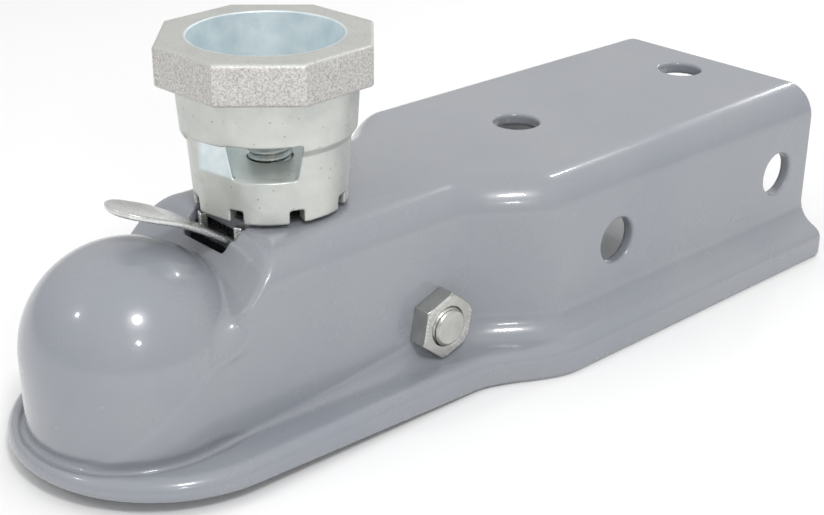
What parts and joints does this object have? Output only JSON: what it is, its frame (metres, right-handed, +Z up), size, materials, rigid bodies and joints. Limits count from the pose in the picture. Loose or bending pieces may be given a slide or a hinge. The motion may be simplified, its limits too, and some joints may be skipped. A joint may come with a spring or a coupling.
{
  "type": "trailer ball coupler",
  "caption": "Stamped steel trailer coupler: a ball socket with a handwheel-drawn clamp and a sprung latch, on a straight channel that bolts over a trailer tongue.",
  "frame": {"origin": "centre of the ball socket", "axes": "+X back along the trailer tongue, +Y to the trailer's right seen from the ball, +Z up"},
  "size_m": [0.284, 0.109, 0.1088],
  "materials": {
    "grey_enamel": "gloss grey enamel on stamped steel",
    "zinc_casting": "bright zinc plate on a rough casting",
    "zinc_steel": "zinc plate",
    "spring_steel": "zinc plate on spring steel",
    "black_washer": "black bearing plastic",
    "dark_casting": "dark phosphate on a casting"
  },
  "bodies": {
    "body": {"housing": "grey_enamel", "thrust_washer": "black_washer", "clamp_spring": "spring_steel", "pivot_bolt": "zinc_steel", "pivot_nut": "zinc_steel", "head_washer": "zinc_steel", "pivot_sleeve": "zinc_steel", "latch_lugs": "grey_enamel", "latch_pin": "zinc_steel", "pin_clips": "spring_steel", "latch_spring": "spring_steel"},
    "wheel": {"handwheel": "zinc_casting"},
    "screw": {"draw_bolt": "zinc_steel"},
    "clamp": {"ball_clamp": "dark_casting", "spring_seat": "zinc_steel"},
    "latch": {"latch_lever": "spring_steel"}
  },
  "joints": [
    {"name": "handwheel_spin", "type": "hinge", "parent": "body", "child": "wheel", "pos_m": [0.0488, 0, 0.0304], "axis": [0, 0, 1], "range_deg": [0, 1710]},
    {"name": "bolt_draw", "type": "slide", "parent": "body", "child": "screw", "axis": [0, 0, 1], "range_m": [-0.00932, 0], "deforming": ["clamp_spring"]},
    {"name": "clamp_swing", "type": "hinge", "parent": "body", "child": "clamp", "pos_m": [0.0843, 0, -0.0095], "axis": [0, 1, 0], "range_deg": [-14.6, 0]},
    {"name": "latch_press", "type": "hinge", "parent": "body", "child": "latch", "pos_m": [0.07, 0, 0.0202], "axis": [0, 1, 0], "range_deg": [-3.4, 4.4], "stiffness_Nm_per_rad": 6}
  ],
  "couplings": [
    {"joint": "bolt_draw", "follows": "handwheel_spin", "m_per_rad": -0.00031099},
    {"joint": "clamp_swing", "follows": "handwheel_spin", "ratio": -0.0084795}
  ]
}
